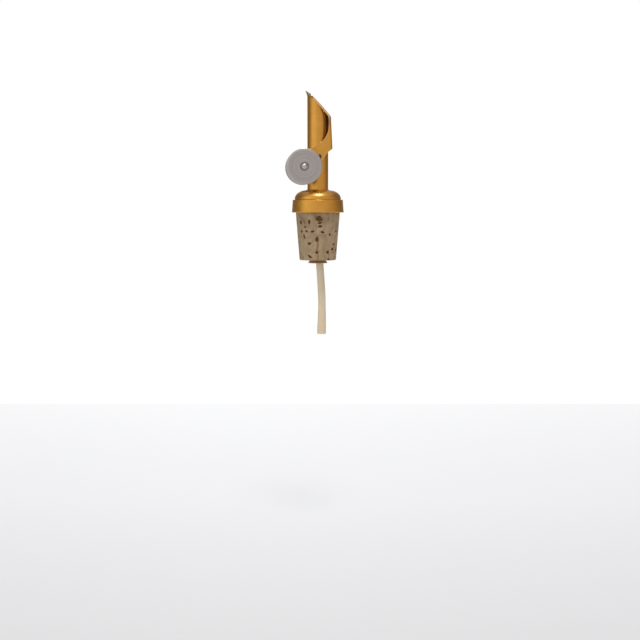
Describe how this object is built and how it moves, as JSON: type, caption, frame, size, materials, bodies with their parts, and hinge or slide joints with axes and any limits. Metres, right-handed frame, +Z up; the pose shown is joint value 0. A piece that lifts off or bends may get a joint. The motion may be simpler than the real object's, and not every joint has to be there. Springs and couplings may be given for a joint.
{
  "type": "liquor pour spout",
  "caption": "Weighted self-closing pour spout: slant-cut metal tube with a hinged flap and disc counterweights, dome collar, tapered cork and breather tube",
  "frame": {"origin": "on the axis of the pour tube and cork, in the plane of the skirt's underside, which rests on the bottle's lip", "axes": "+Z up along the tube and cork, the pouring lip and the counterweights towards -X, the flap's back plate towards +X, and the flap's hinge along Y"},
  "size_m": [0.027, 0.0242, 0.1132],
  "materials": {
    "gold_metal": "satin",
    "turned_steel": "satin",
    "bright_steel": "satin",
    "natural_cork": "matte",
    "milky_plastic": "satin"
  },
  "bodies": {
    "spout": {"pour_tube": "gold_metal", "dome_cap": "gold_metal", "skirt_ring": "gold_metal", "stem_tube": "gold_metal", "cork_stopper": "natural_cork", "vent_tube": "bright_steel", "breather_tube": "milky_plastic", "pivot_pin": "gold_metal"},
    "flap": {"flap": "gold_metal", "weight_pin": "turned_steel", "weight_near": "turned_steel", "weight_far": "turned_steel", "spacer_near": "turned_steel", "spacer_far": "turned_steel"}
  },
  "joints": [
    {"name": "flap_hinge", "type": "hinge", "parent": "spout", "child": "flap", "pos_m": [0, 0, 0.0256], "axis": [0, 1, 0], "range_deg": [0, 65]}
  ]
}
